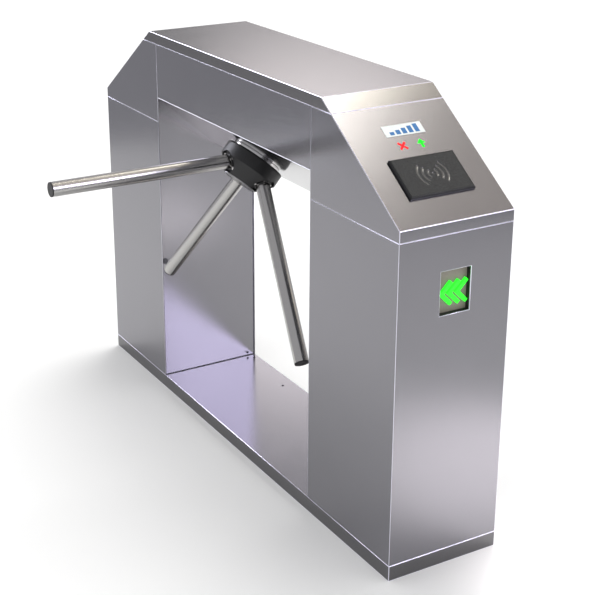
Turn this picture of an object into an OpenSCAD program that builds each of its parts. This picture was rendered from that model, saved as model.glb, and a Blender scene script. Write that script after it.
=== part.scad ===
// Tripod turnstile that counts visitors, with a card reader on its entry slope.
// The origin is on the floor at the cabinet's centre. +Y is the walking direction, from entry to
// exit, and +Z is up. The passage and the level arm are on the -X side.

/* [Cabinet] */
// Length of the cabinet along the passage
cabinet_l = 1400; // [1160:5:1700]
// Width of the cabinet across the passage
cabinet_w = 280; // [270:5:340]
// Height from the floor to the top of the lid
cabinet_h = 980; // [960:5:1180]
// Length of each pedestal along the passage
pedestal_l = 327; // [300:1:360]
// Height of the floor plinth
plinth_h = 36; // [30:1:60]
// Height of the seam between the lower casings and the hoods
shoulder_h = 752; // [720:1:760]
// Height of the hood's upright skirt below the slope
skirt_h = 25; // [15:1:40]
// Horizontal run of each end slope
slope_run = 288; // [250:1:320]
// Height of the lid's side lips
lid_lip_h = 27; // [20:1:40]
// Thickness of the stainless sheet
sheet_t = 1.5; // [1.2:0.1:2]
// Visible joint between neighbouring sheets
seam_gap = 0.3; // [0.2:0.05:0.5]
// Set-back of the service panels behind the casing edges
panel_setback = 4; // [2:0.5:8]

/* [Bridge] */
// Height of the upright panel above the belly slope, on the passage side
passage_panel_h = 138; // [120:1:170]
// Drop of the belly slope from the passage side to the flat belly
belly_drop = 151; // [140:1:155]
// Angle of the tripod shaft below the level
tilt = 49; // [47:0.5:51]
// Distance down the belly slope from its top edge to the shaft
shaft_down_slope = 109; // [105:1:115]

/* [Base] */
// Thickness of the base plate
base_t = 3; // [2:0.5:6]
// Thickness of the plinth walls
plinth_wall_t = 2; // [1.5:0.5:4]
// Radius of the anchor bolt holes
anchor_r = 7; // [5:0.5:9]
// Spacing of the anchor bolts across the cabinet
anchor_dx = 180; // [140:5:200]
// Spacing of the anchor bolts along the cabinet
anchor_dy = 220; // [160:5:240]
// Radius of the cable entries in the base
cable_r = 25; // [15:1:35]

/* [Frame] */
// Leg width of the angle posts
post_leg = 30; // [25:1:40]
// Thickness of the angle posts
post_t = 3; // [2:0.5:4]
// Height of the bridge rails
rail_h = 30; // [20:1:40]
// Width of the bridge rails
rail_w = 20; // [15:1:30]
// Depth of the ribs that follow the belly
rib_depth = 34; // [25:1:40]
// Thickness of the ribs
rib_t = 4; // [3:0.5:6]

/* [Lid hinge] */
// Radius of the hinge pin
hinge_pin_r = 1.5; // [1:0.1:2]
// Outer radius of the hinge knuckles
knuckle_r = 3; // [2.5:0.1:4]
// Length of one knuckle
knuckle_l = 30; // [20:1:40]
// Number of knuckles
knuckle_count = 23; // [15:2:25]
// Thickness of the hinge leaves
leaf_t = 1.2; // [1:0.1:1.5]
// Height of each hinge leaf
leaf_h = 18; // [14:1:20]

/* [Arms] */
// Length of each arm from the apex of the tripod to its tip
arm_l = 518; // [440:1:540]
// Outer radius of the arm tubes
arm_r = 17; // [15:0.5:19]
// Wall of the arm tubes
arm_wall = 1.5; // [1.2:0.1:2]
// Thickness of the end caps outside the tubes
arm_cap_t = 3; // [2:0.5:5]
// Distance from the apex to the bottom of each arm socket
socket_start = 50; // [46:1:56]
// Distance from the apex to the floor of each arm pocket
pocket_floor = 68; // [64:1:72]
// Radius of each arm pocket
pocket_r = 27; // [26:0.5:28]
// Radius of the arm flanges
flange_r = 26; // [25:0.5:27]
// Thickness of the arm flanges
flange_t = 4; // [3:0.5:5]
// Screw spacing on the flanges, towards the hub's nose
flange_dx = 25; // [22:0.5:26]
// Screw spacing on the flanges, around the hub
flange_dy = 36; // [35:0.5:37]

/* [Hub] */
// Radius of the hub
hub_r = 75.5; // [74:0.5:80]
// Length of the hub's straight side, measured from the apex
hub_side_end = 36; // [32:1:40]
// Radius of the hub's front face
hub_nose_r = 45; // [42:1:50]
// Distance of the hub's front face from the apex
hub_nose_end = 71; // [68:1:74]
// Distance of the hub's rear face from the apex
hub_rear = 3.2; // [2:0.2:5]
// Rounding of the hub's rear edge
hub_rear_round = 5; // [2:0.5:8]
// Radius of the collar ring behind the hub
collar_r = 63; // [58:1:68]
// Distance from the belly slope's surface to the apex
belly_clearance = 4.2; // [3:0.2:6]

/* [Mechanism] */
// Radius of the tripod shaft
shaft_r = 15; // [12:0.5:17]
// Outer radius of the shaft bearings
bearing_r = 31; // [28:0.5:34]
// Width of the shaft bearings
bearing_w = 16; // [12:1:18]
// Thickness of the mechanism's mounting plate
mech_t = 8; // [6:1:10]
// Width of the mounting plate along the cabinet
mech_w = 320; // [310:5:340]
// Length of the mounting plate along the belly slope
mech_l = 165; // [155:1:170]
// Length of the bearing housing
housing_l = 58; // [54:1:62]
// Radius of the locking wheel
wheel_r = 60; // [56:0.5:62]
// Number of notches in the locking wheel
notch_count = 12; // [12:12:24]
// Depth of the notches
notch_depth = 8; // [6:0.5:9]
// Width of the notches
notch_w = 9; // [8:0.5:10]
// Thickness of the locking wheel and of the pawls
wheel_t = 12; // [8:1:14]
// Angle that each pawl turns to lock the wheel
pawl_angle = 12; // [10:0.5:14]
// Distance from a pawl's pivot to its nose
pawl_l = 55; // [50:1:60]
// Distance from a pawl's pivot to its tail pin
tail_l = 25; // [22:1:28]
// Radius of the solenoid plungers
plunger_r = 6; // [5:0.5:7]
// Side of the square solenoid cases
solenoid_w = 40; // [34:1:44]
// Length of the solenoid cases
solenoid_l = 50; // [40:1:54]

/* [Reader and lights] */
// Width of the card reader
reader_w = 158; // [140:1:170]
// Height of the card reader along the slope
reader_h = 100; // [85:1:110]
// Height of the reader's face above the slope
reader_proud = 7; // [5:0.5:12]
// Place of the reader's centre up the slope
reader_up = 115; // [100:1:120]
// Place of the status lights up the slope
lights_up = 198.5; // [190:0.5:205]
// Distance between the two status lights
lights_dx = 46; // [40:1:60]
// Place of the name plate up the slope
plate_up = 239; // [235:1:245]
// Width of the indicator windows
window_w = 74; // [60:1:90]
// Height of the indicator windows
window_h = 94; // [70:1:110]
// Height of the windows' centre above the floor
window_z = 628; // [560:1:640]
// Depth of the indicator panel behind the casing's face
window_depth = 12.5; // [10:0.5:20]

/* [Hidden] */
$fn = 96;

// Amount by which a cut runs past the solid it cuts
cut = 1;
// Clearance between pieces that sit still against each other
fit_gap = 0.1;
// Radial clearance of running fits
run_gap = 0.05;
// Clearance between bodies that pass each other
pass_gap = 0.3;

half_w = cabinet_w / 2;
half_l = cabinet_l / 2;
bridge_y = half_l - pedestal_l;
in_x = half_w - sheet_t;
slope_z = shoulder_h + skirt_h;
slope_a = atan2(cabinet_h - slope_z, slope_run);
lid_z = cabinet_h - lid_lip_h;
lid_top_y = half_l - slope_run;
lid_lip_y = half_l - (lid_z - slope_z) / tan(slope_a);
belly_top_z = lid_z - passage_panel_h;
belly_z = belly_top_z - belly_drop;
belly_corner_x = -half_w + belly_drop * tan(tilt);
belly_bend = sheet_t * tan((90 - tilt) / 2);
panel_y = bridge_y + panel_setback;
anchor_y = bridge_y + pedestal_l / 2;
post_y = panel_y + sheet_t;
post_x = half_w - plinth_wall_t;
rail_z = lid_z - 5;

// Apex of the tripod, where the three arm axes meet the shaft's axis
apex = [
    -half_w + shaft_down_slope * sin(tilt) - belly_clearance * cos(tilt),
    0,
    belly_top_z - shaft_down_slope * cos(tilt) - belly_clearance * sin(tilt)
];

// Levels along the shaft, measured from the apex and negative inside the cabinet
belly_in = -belly_clearance - sheet_t;
mech_in = belly_in - mech_t;
housing_in = mech_in - housing_l;
wheel_mid = housing_in - 14;
cam_mid = wheel_mid - 18;
rear_plate_out = cam_mid - 26;
rear_plate_t = 6;
shaft_in = rear_plate_out - rear_plate_t - 11;
shaft_hole_gap = 5;
// Bottom of the shaft's bore in the hub
shaft_bore_end = 32;
// Length along an arm that clears the hub
pocket_reach = 120;

mech_top = 80;
mech_bottom = mech_top - mech_l;
pillar_x = 66;
pillar_top_y = 88;
pillar_bottom_y = 48;
pillar_r = 6;

nose_a = 75;
nose_r = wheel_r + 6;
nose_w = notch_w - 1.5;
nose_tip_w = nose_w - 3;
nose_tip_r = wheel_r - notch_depth + 1;
nose_taper_l = 7;
pivot = [
    nose_r * cos(nose_a) - pawl_l * sin(nose_a),
    nose_r * sin(nose_a) + pawl_l * cos(nose_a)
];
pawl_pin_r = 5;
tail_pin_r = 2;
tail_a = 180 + pawl_angle / 2;
tail = [pivot[0] + tail_l * cos(tail_a), pivot[1] + tail_l * sin(tail_a)];
bracket_y = 97;
bracket_t = 3;
bracket_half_w = 21;

cam_r = 40;
cam_lobe = 4;
cam_t = 12;
roller_r = 9;
roller_at = [cam_r + cam_lobe + roller_r + 0.5, 0];
lever_pivot = [62, -50];

disc_r = 33;
disc_t = 2;
disc_z = rear_plate_out - rear_plate_t - 7.5;

lock_x = -half_w + 9.5;
lock_z = 368;
lock_r = 6;
lock_head_r = 8;
lock_head_h = 1.2;
lock_l = 22;
plug_r = 4;
cam_bar_t = 2;
cam_bar_l = 24;
keyway_w = 1.2;
keyway_h = 4.8;
keyway_deep = 3;

screw_r = 2;
screw_head_r = 3.5;
screw_head_h = 1.8;
arm_screw_r = 2.5;
arm_head_r = 4.6;
arm_head_h = 3.5;

// Inner edge of the ledge that the floor cover is screwed to
cover_in_x = 90;
ledge_w = 15;
// Each service panel's screw: its place across the cabinet and above the floor
panel_screw = [post_x - 20, plinth_h + 9];
cover_screws = [[126, bridge_y - 21], [105, bridge_y - 216]];

module box(lo, hi) {
    translate(lo) cube(hi - lo);
}

// Extrudes an outline drawn in Y and Z across the cabinet
module across(x0, x1) {
    translate([x0, 0, 0]) rotate([90, 0, 90]) linear_extrude(x1 - x0) children();
}

// Extrudes an outline drawn in X and Z along the cabinet
module along(y0, y1) {
    translate([0, y1, 0]) rotate([90, 0, 0]) linear_extrude(y1 - y0) children();
}

module to_exit() {
    mirror([0, 1, 0]) children();
}

module both_ends() {
    children();
    to_exit() children();
}

module tube(r_out, r_in, z0, z1) {
    difference() {
        translate([0, 0, z0]) cylinder(r = r_out, h = z1 - z0);
        translate([0, 0, z0 - cut]) cylinder(r = r_in, h = z1 - z0 + 2 * cut);
    }
}

module rod(r, z0, z1) {
    translate([0, 0, z0]) cylinder(r = r, h = z1 - z0);
}

// Shallow domed head that stands on z = 0
module dome(r, h) {
    ball_r = (r * r + h * h) / (2 * h);
    intersection() {
        translate([0, 0, h - ball_r]) sphere(r = ball_r);
        cylinder(r = r, h = h);
    }
}

// Frame of the shaft: +Z leaves the cabinet and +X points up the belly slope
module on_shaft() {
    translate(apex) rotate([0, -90 - tilt, 0]) children();
}

// Frame of one arm: +Z runs out along the arm
module on_arm(k) {
    on_shaft() rotate([0, 0, 120 * k]) rotate([0, tilt, 0]) children();
}

// Frame of the entry slope: +Y climbs the slope and +Z leaves it
module on_slope() {
    translate([0, -half_l, slope_z]) rotate([slope_a, 0, 0]) children();
}

// ---- Cabinet ----

module base_tray() {
    color("silver") difference() {
        box([-half_w, -half_l, 0], [half_w, half_l, plinth_h]);
        both_ends() {
            box([plinth_wall_t - half_w, plinth_wall_t - half_l, base_t],
                [half_w - plinth_wall_t, -bridge_y - plinth_wall_t, plinth_h + cut]);
        }
        box([plinth_wall_t - half_w, -bridge_y, base_t],
            [half_w - plinth_wall_t, bridge_y, plinth_h - sheet_t - plinth_wall_t]);
        box([plinth_wall_t + ledge_w - half_w, -bridge_y, plinth_h - sheet_t - plinth_wall_t - cut],
            [cover_in_x, bridge_y, plinth_h]);
        box([-half_w - cut, -bridge_y, plinth_h - sheet_t], [half_w + cut, bridge_y, plinth_h + cut]);
        both_ends() {
            for (sx = [-1, 1], sy = [-1, 1]) {
                translate([sx * anchor_dx / 2, sy * anchor_dy / 2 - anchor_y, -cut])
                    cylinder(r = anchor_r, h = base_t + 2 * cut);
            }
            translate([0, -anchor_y, -cut]) cylinder(r = cable_r, h = base_t + 2 * cut);
            for (at = cover_screws) {
                translate([at[0], at[1], plinth_h - sheet_t - plinth_wall_t - cut])
                    cylinder(r = screw_r + fit_gap, h = plinth_wall_t + 2 * cut);
            }
        }
    }
}

module floor_cover() {
    color("silver") difference() {
        box([-half_w, seam_gap - bridge_y, plinth_h - sheet_t],
            [half_w, bridge_y - seam_gap, plinth_h]);
        both_ends() for (at = cover_screws) {
            translate([at[0], at[1], plinth_h - sheet_t - cut])
                cylinder(r = screw_r + fit_gap, h = sheet_t + 2 * cut);
        }
    }
}

module casing() {
    color("silver") difference() {
        box([-half_w, -half_l, plinth_h], [half_w, -bridge_y, shoulder_h]);
        box([-in_x, sheet_t - half_l, plinth_h - cut], [in_x, cut - bridge_y, shoulder_h + cut]);
        box([-window_w / 2, -half_l - cut, window_z - window_h / 2],
            [window_w / 2, sheet_t + cut - half_l, window_z + window_h / 2]);
    }
}

module entry_casing() {
    casing();
}

module exit_casing() {
    to_exit() casing();
}

module service_panel() {
    edge = in_x - seam_gap;
    overlap = 20;
    color("silver") difference() {
        along(-panel_y - sheet_t, -panel_y) polygon([
            [-edge, plinth_h], [edge, plinth_h], [edge, belly_z + overlap],
            [belly_corner_x, belly_z + overlap], [-edge, belly_top_z + overlap]
        ]);
        translate([lock_x, -panel_y, lock_z]) rotate([90, 0, 0]) rod(lock_r + fit_gap, -cut, sheet_t + cut);
        translate([panel_screw[0], -panel_y, panel_screw[1]]) rotate([90, 0, 0])
            rod(screw_r + fit_gap, -cut, sheet_t + cut);
    }
}

module entry_service_panel() {
    service_panel();
}

module exit_service_panel() {
    to_exit() service_panel();
}

module hood() {
    inner_drop = sheet_t / cos(slope_a);
    difference() {
        across(-half_w, half_w) polygon([
            [-half_l, shoulder_h], [-bridge_y, shoulder_h], [-bridge_y, lid_z],
            [-lid_lip_y, lid_z], [-half_l, slope_z]
        ]);
        across(-in_x, in_x) polygon([
            [sheet_t - half_l, shoulder_h - cut], [cut - bridge_y, shoulder_h - cut],
            [cut - bridge_y, lid_z + cut],
            [(lid_z + cut + inner_drop - slope_z) / tan(slope_a) - half_l, lid_z + cut],
            [sheet_t - half_l, slope_z + sheet_t * tan(slope_a) - inner_drop]
        ]);
    }
}

module entry_hood() {
    color("silver") difference() {
        hood();
        on_slope() {
            translate([0, reader_up, -sheet_t - cut])
                linear_extrude(sheet_t + 2 * cut)
                    square([reader_body_w, reader_body_h], center = true);
            translate([-lights_dx / 2, lights_up, -sheet_t - cut])
                linear_extrude(sheet_t + 2 * cut) cross_shape(fit_gap);
            translate([lights_dx / 2, lights_up, -sheet_t - cut])
                linear_extrude(sheet_t + 2 * cut) arrow_shape(fit_gap);
        }
    }
}

module exit_hood() {
    color("silver") to_exit() hood();
}

module passage_panel() {
    color("silver") box([-half_w, seam_gap - bridge_y, belly_top_z + sheet_t + seam_gap],
        [-in_x, bridge_y - seam_gap, lid_z]);
}

module back_panel() {
    color("silver") box([in_x, seam_gap - bridge_y, belly_z + sheet_t + seam_gap],
        [half_w, bridge_y - seam_gap, lid_z]);
}

module belly_plate() {
    belly_notch_over = 20;
    color("silver") difference() {
        along(-panel_y, panel_y) polygon([
            [-half_w, belly_top_z], [belly_corner_x, belly_z], [half_w, belly_z],
            [half_w, belly_z + sheet_t], [belly_corner_x + belly_bend, belly_z + sheet_t],
            [-half_w + sheet_t * cos(tilt), belly_top_z + sheet_t * sin(tilt)]
        ]);
        both_ends() for (side = [0, 1]) mirror([side, 0, 0]) {
            box([in_x - seam_gap, -panel_y - cut, belly_z - cut],
                [half_w + cut, seam_gap - bridge_y, belly_top_z + belly_notch_over]);
        }
        on_shaft() rod(shaft_r + shaft_hole_gap, belly_in - cut, cut - belly_clearance);
    }
}

module angle_post(h) {
    difference() {
        cube([post_leg, post_leg, h]);
        translate([post_t, post_t, -cut]) cube([post_leg, post_leg, h + 2 * cut]);
    }
}

// Welded frame of one pedestal: four angle posts, a ring below the hood and a cross bar at the top
module pedestal_frame() {
    out_y = plinth_wall_t - half_l;
    ring = 20;
    ring_z = shoulder_h - ring - 4;
    difference() {
        union() {
            for (side = [0, 1]) mirror([side, 0, 0]) {
                translate([-post_x, out_y, base_t]) angle_post(slope_z - 8 - base_t);
                translate([-post_x, -post_y, base_t]) mirror([0, 1, 0]) angle_post(rail_z - base_t);
                box([post_t - post_x, out_y + post_t, ring_z],
                    [post_t + ring - post_x, -post_y - post_t, ring_z + ring]);
            }
            for (y = [out_y + post_t, -post_y - post_t - ring]) {
                box([post_t - post_x, y, ring_z], [post_x - post_t, y + ring, ring_z + ring]);
            }
            box([post_t - post_x, -post_y - post_t - ring, rail_z - ring],
                [post_x - post_t, -post_y - post_t, rail_z]);
        }
        box([cut - post_x, -post_y - post_t - 2 * cut, lock_z - lock_r - cut],
            [post_leg + cut - post_x, cut - post_y, lock_z + lock_r + cut]);
        box([cut - post_x, -post_y - post_leg - cut, lock_z - lock_r - cut],
            [post_t + cut - post_x, cut - post_y, lock_z + lock_r + cut]);
        translate([panel_screw[0], -post_y, panel_screw[1]]) rotate([90, 0, 0])
            rod(screw_r + fit_gap, -cut, post_t + cut);
    }
}

module pedestal_frames() {
    color("gray") both_ends() pedestal_frame();
}

// Two rails that join the pedestals and two ribs that carry the belly and the mechanism
module bridge_frame() {
    color("gray") {
        for (side = [0, 1]) mirror([side, 0, 0]) {
            box([-in_x, -post_y, rail_z - rail_h], [rail_w - in_x, post_y, rail_z]);
        }
        both_ends() along(-mech_w / 2 - rib_t, -mech_w / 2) difference() {
            polygon([
                [-in_x, rail_z - rail_h], [-in_x, belly_inner_z(-in_x)],
                [belly_corner_x + belly_bend, belly_z + sheet_t], [in_x, belly_z + sheet_t],
                [in_x, rail_z - rail_h]
            ]);
            polygon([
                [rib_depth - in_x, rail_z], [rib_depth - in_x, belly_inner_z(rib_depth - in_x) + rib_depth],
                [belly_corner_x + belly_bend, belly_z + sheet_t + rib_depth],
                [in_x - rib_depth, belly_z + sheet_t + rib_depth], [in_x - rib_depth, rail_z]
            ]);
        }
    }
}

// Height of the belly slope's inner surface at x
function belly_inner_z(x) = belly_z + (belly_corner_x - x) / tan(tilt) + sheet_t / sin(tilt);

module lid() {
    inner_run = sheet_t * tan(slope_a / 2);
    inset = sheet_t / sin(slope_a);
    lid_rib_x = 70;
    lid_rib_w = 30;
    lid_rib_h = 12;
    lid_rib_end = 20;
    color("silver") {
        difference() {
            across(-half_w, half_w) polygon([
                [-lid_lip_y, lid_z], [lid_lip_y, lid_z], [lid_top_y, cabinet_h], [-lid_top_y, cabinet_h]
            ]);
            across(-in_x, in_x) polygon([
                [inset - lid_lip_y - cut / tan(slope_a), lid_z - cut],
                [lid_lip_y - inset + cut / tan(slope_a), lid_z - cut],
                [lid_top_y - inner_run, cabinet_h - sheet_t], [inner_run - lid_top_y, cabinet_h - sheet_t]
            ]);
        }
        for (x = [-lid_rib_x, lid_rib_x]) {
            box([x - lid_rib_w / 2, lid_rib_end - lid_top_y, cabinet_h - sheet_t - lid_rib_h],
                [x + lid_rib_w / 2, lid_top_y - lid_rib_end, cabinet_h - sheet_t]);
        }
    }
}

hinge_x = half_w + knuckle_r + 0.2;
hinge_l = knuckle_l * knuckle_count;

module on_hinge(y) {
    translate([hinge_x, y, lid_z]) rotate([-90, 0, 0]) children();
}

// One leaf of the lid's piano hinge: first is 0 or 1, up is 1 above the pin and -1 below it
module hinge_leaf(first, up) {
    low = up > 0 ? lid_z + cut : lid_z - cut - leaf_h;
    difference() {
        union() {
            box([half_w, -hinge_l / 2, low], [half_w + leaf_t, hinge_l / 2, low + leaf_h]);
            for (k = [first : 2 : knuckle_count - 1]) {
                on_hinge(k * knuckle_l - hinge_l / 2) rod(knuckle_r, pass_gap, knuckle_l - pass_gap);
            }
        }
        for (k = [1 - first : 2 : knuckle_count - 1]) {
            on_hinge(k * knuckle_l - hinge_l / 2) rod(knuckle_r + pass_gap, -pass_gap, knuckle_l + pass_gap);
        }
        on_hinge(-hinge_l / 2) rod(hinge_pin_r + run_gap, -cut, hinge_l + cut);
    }
}

module hinge_leaf_cabinet() {
    color("gray") hinge_leaf(0, -1);
}

module hinge_leaf_lid() {
    color("gray") hinge_leaf(1, 1);
}

module hinge_pin() {
    color("gray") on_hinge(-hinge_l / 2) rod(hinge_pin_r, pass_gap, hinge_l - pass_gap);
}

// ---- Locks and screws ----

module at_lock() {
    translate([lock_x, -panel_y, lock_z]) rotate([90, 0, 0]) children();
}

module lock_body() {
    difference() {
        union() {
            rod(lock_r, 0, lock_l);
            rod(lock_head_r, -lock_head_h, 0);
        }
        rod(plug_r + run_gap, -lock_head_h - cut, lock_l + cut);
    }
}

module lock_bodies() {
    color("dimgray") both_ends() at_lock() lock_body();
}

module lock_plug() {
    at_lock() difference() {
        union() {
            rod(plug_r, -lock_head_h, lock_l + pass_gap + cam_bar_t + 1.7);
            box([-plug_r, -plug_r, lock_l + pass_gap],
                [plug_r, cam_bar_l, lock_l + pass_gap + cam_bar_t]);
        }
        box([-keyway_w / 2, -keyway_h / 2, -lock_head_h - cut],
            [keyway_w / 2, keyway_h / 2, keyway_deep]);
    }
}

module entry_lock_plug() {
    color("gray") lock_plug();
}

module exit_lock_plug() {
    color("gray") to_exit() lock_plug();
}

module small_screw(grip) {
    dome(screw_head_r, screw_head_h);
    rod(screw_r, -grip, 0);
}

module panel_screws() {
    color("gray") both_ends() {
        for (at = cover_screws) {
            translate([at[0], at[1], plinth_h]) small_screw(6);
        }
        translate([panel_screw[0], -panel_y, panel_screw[1]]) rotate([-90, 0, 0]) small_screw(8);
    }
}

// ---- Reader, lights and indicators ----

module bevelled_block(w, h, t, bevel) {
    hull() {
        linear_extrude(t - bevel) square([w, h], center = true);
        linear_extrude(t) square([w - 2 * bevel, h - 2 * bevel], center = true);
    }
}

reader_bevel = 2.5;
reader_rim = 3.5;
reader_sink = 2.2;
reader_body_d = 18;
reader_body_w = reader_w - 30;
reader_body_h = reader_h - 30;
reader_wall = 2;
reader_cover_t = 2;

module reader_housing() {
    color("black") on_slope() translate([0, reader_up, 0]) difference() {
        union() {
            bevelled_block(reader_w, reader_h, reader_proud, reader_bevel);
            translate([0, 0, -reader_body_d]) linear_extrude(reader_body_d + cut)
                square([reader_body_w - 2 * fit_gap, reader_body_h - 2 * fit_gap], center = true);
        }
        translate([0, 0, reader_proud - reader_sink]) linear_extrude(reader_sink + cut)
            square([reader_w - 2 * reader_rim, reader_h - 2 * reader_rim], center = true);
        translate([0, 0, -reader_body_d - cut]) linear_extrude(reader_body_d + cut)
            square([reader_body_w - 2 * reader_wall, reader_body_h - 2 * reader_wall], center = true);
    }
}

// Wave marks sunk into the reader's cover: centre, middle radii, half width, depth and half angle
wave_at = [2, 1];
wave_radii = [10.5, 22.5, 34.5];
wave_half_w = 3.5;
wave_d = 1.15;
wave_half_a = 42;
wave_ball_r = (wave_half_w * wave_half_w + wave_d * wave_d) / (2 * wave_d);

module wave_marks() {
    $fn = 24;
    translate([wave_at[0], wave_at[1], reader_cover_t + wave_ball_r - wave_d]) {
        sphere(r = wave_ball_r);
        for (side = [0, 180], r = wave_radii) rotate([0, 0, side]) {
            rotate([0, 0, -wave_half_a]) rotate_extrude(angle = 2 * wave_half_a)
                translate([r, 0]) circle(r = wave_ball_r);
            for (a = [-wave_half_a, wave_half_a]) {
                rotate([0, 0, a]) translate([r, 0, 0]) sphere(r = wave_ball_r);
            }
        }
    }
}

module reader_cover() {
    inset = reader_rim + fit_gap;
    color("dimgray") on_slope() translate([0, reader_up, reader_proud - reader_sink]) difference() {
        linear_extrude(reader_cover_t) square([reader_w - 2 * inset, reader_h - 2 * inset], center = true);
        wave_marks();
    }
}

plate_w = 96;
plate_h = 29;
plate_t = 0.8;

module name_plate() {
    color("white") on_slope() translate([0, plate_up, 0]) linear_extrude(plate_t)
        square([plate_w, plate_h], center = true);
}

cross_l = 24;
cross_w = 5;
arrow_l = 22;
arrow_half_w = 10;
arrow_stem_w = 6;
light_proud = 0.4;
light_base = 30;
light_base_t = 3;
light_board_t = 1.6;

module cross_shape(grow) {
    for (a = [45, -45]) {
        rotate(a) square([cross_l + 2 * grow, cross_w + 2 * grow], center = true);
    }
}

module arrow_shape(grow) {
    stem = arrow_stem_w / 2 + grow;
    polygon([
        [-stem, -arrow_l / 2 - grow], [stem, -arrow_l / 2 - grow], [stem, -grow],
        [arrow_half_w + 2 * grow, -grow], [0, arrow_l / 2 + 2 * grow], [-arrow_half_w - 2 * grow, -grow],
        [-stem, -grow]
    ]);
}

module light_guide_base() {
    translate([0, 0, -light_base_t]) linear_extrude(light_base_t) square(light_base, center = true);
}

module stop_light() {
    color("red") on_slope() translate([-lights_dx / 2, lights_up, -sheet_t]) {
        linear_extrude(sheet_t + light_proud) cross_shape(0);
        light_guide_base();
    }
}

module go_light() {
    color("lime") on_slope() translate([lights_dx / 2, lights_up, -sheet_t]) {
        linear_extrude(sheet_t + light_proud) arrow_shape(0);
        light_guide_base();
    }
}

module light_board() {
    color("green") on_slope() translate([0, lights_up, -sheet_t - light_base_t - light_board_t])
        linear_extrude(light_board_t) square([lights_dx + light_base + 10, light_base + 6], center = true);
}

indicator_t = 2;

module at_window() {
    translate([0, -half_l, window_z]) rotate([90, 0, 0]) children();
}

// Open-fronted box behind each casing window; z runs out of the casing
module indicator_box() {
    wall = 2;
    back = window_depth + indicator_t + 8;
    at_window() difference() {
        translate([0, 0, -back - wall]) linear_extrude(back + wall - sheet_t)
            square([window_w + 2 * wall, window_h + 2 * wall], center = true);
        translate([0, 0, -back]) linear_extrude(back) square([window_w, window_h], center = true);
    }
}

module indicator_boxes() {
    color("black") both_ends() indicator_box();
}

module indicator_panels() {
    color("tan") both_ends() at_window() translate([0, 0, -window_depth - indicator_t])
        linear_extrude(indicator_t) square([window_w - 2 * fit_gap, window_h - 2 * fit_gap], center = true);
}

// Chevrons: half height of the outer line, stroke across the line, spacing, thickness and place
chevron_run = 26.5;
chevron_stroke = 8;
chevron_pitch = 19.3;
chevron_t = 6;
chevron_x = 4.5;
chevron_z = -5;

module chevron() {
    side = chevron_stroke / sqrt(2);
    polygon([
        [0, 0], [chevron_run, chevron_run], [chevron_run + side, chevron_run - side],
        [chevron_stroke * sqrt(2), 0], [chevron_run + side, side - chevron_run],
        [chevron_run, -chevron_run]
    ]);
}

module indicator_chevrons() {
    color("lime") both_ends() at_window() for (k = [0 : 2]) {
        translate([chevron_x - k * chevron_pitch, chevron_z, -window_depth])
            linear_extrude(chevron_t) chevron();
    }
}

// ---- Electrics in the entry pedestal ----

// Inner face of the equipment plate, and the ends of the plate and of its feet
equipment_x = post_x - post_t - 22;
equipment_t = 2;
equipment_in_y = 14;
equipment_foot = [14, 20];
equipment_z = [120, 560];
equipment_foot_z = [160, 500];

module equipment_plate() {
    y0 = equipment_in_y - half_l;
    y1 = -post_y - equipment_in_y;
    color("silver") {
        box([equipment_x, y0, equipment_z[0]], [equipment_x + equipment_t, y1, equipment_z[1]]);
        for (z = equipment_foot_z, y = [y0, y1 - equipment_foot[0]]) {
            box([equipment_x + equipment_t, y, z],
                [post_x - post_t, y + equipment_foot[0], z + equipment_foot[1]]);
        }
    }
}

// Control board: its near lower corner and its size along the cabinet and upwards
board_at = [-half_l + 60, 340];
board_size = [150, 200];
board_t = 1.6;
standoff = 8;
standoff_in = 8;

module control_board() {
    x = equipment_x - standoff;
    y = board_at[0];
    z = board_at[1];
    pins = [
        for (dy = [standoff_in, board_size[0] - standoff_in], dz = [standoff_in, board_size[1] - standoff_in])
            [y + dy, z + dz]
    ];
    color("green") {
        difference() {
            box([x - board_t, y, z], [x, y + board_size[0], z + board_size[1]]);
            for (at = pins) {
                translate([x + cut, at[0], at[1]]) rotate([0, -90, 0]) rod(1.8, 0, board_t + 2 * cut);
            }
        }
        for (at = pins) translate([equipment_x, at[0], at[1]]) rotate([0, -90, 0]) rod(3, 0, standoff);
        // Row of plug-in terminals along the lower edge
        for (k = [0 : 5]) {
            box([x - 15, y + 14 + 21 * k, z + 5], [x - board_t, y + 30 + 21 * k, z + 22]);
        }
        // Processor
        box([x - 5, y + 45, z + 90], [x - board_t, y + 75, z + 120]);
        // Three relays
        for (k = [0 : 2]) {
            box([x - 18, y + 95, z + 70 + 32 * k], [x - board_t, y + 125, z + 92 + 32 * k]);
        }
    }
}

supply_size = [38, 110, 150];

module power_supply() {
    at = [equipment_x - supply_size[0], -half_l + 70, 150];
    color("silver") box(at, at + supply_size);
}

// ---- Fixed mechanism ----

module slab(x0, y0, x1, y1, z0, z1) {
    box([x0, y0, z0], [x1, y1, z1]);
}

module mechanism_plate() {
    color("slategray") on_shaft() {
        difference() {
            slab(mech_bottom, -mech_w / 2, mech_top, mech_w / 2, mech_in, belly_in);
            rod(shaft_r + shaft_hole_gap, mech_in - cut, belly_in + cut);
        }
        both_ends() difference() {
            slab(tail[0] - bracket_half_w, -bracket_y - bracket_t, tail[0] + bracket_half_w, -bracket_y,
                wheel_mid - bracket_half_w, mech_in);
            translate([tail[0], -bracket_y, wheel_mid]) rotate([90, 0, 0])
                rod(plunger_r + 1, -cut, bracket_t + cut);
        }
    }
}

housing_wall = 7;
housing_flange = 20;
housing_flange_t = 8;

module bearing_housing() {
    color("slategray") on_shaft() difference() {
        union() {
            rod(bearing_r + housing_wall, housing_in, mech_in);
            rod(bearing_r + housing_flange, mech_in - housing_flange_t, mech_in);
        }
        rod(bearing_r, housing_in - cut, mech_in + cut);
    }
}

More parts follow.
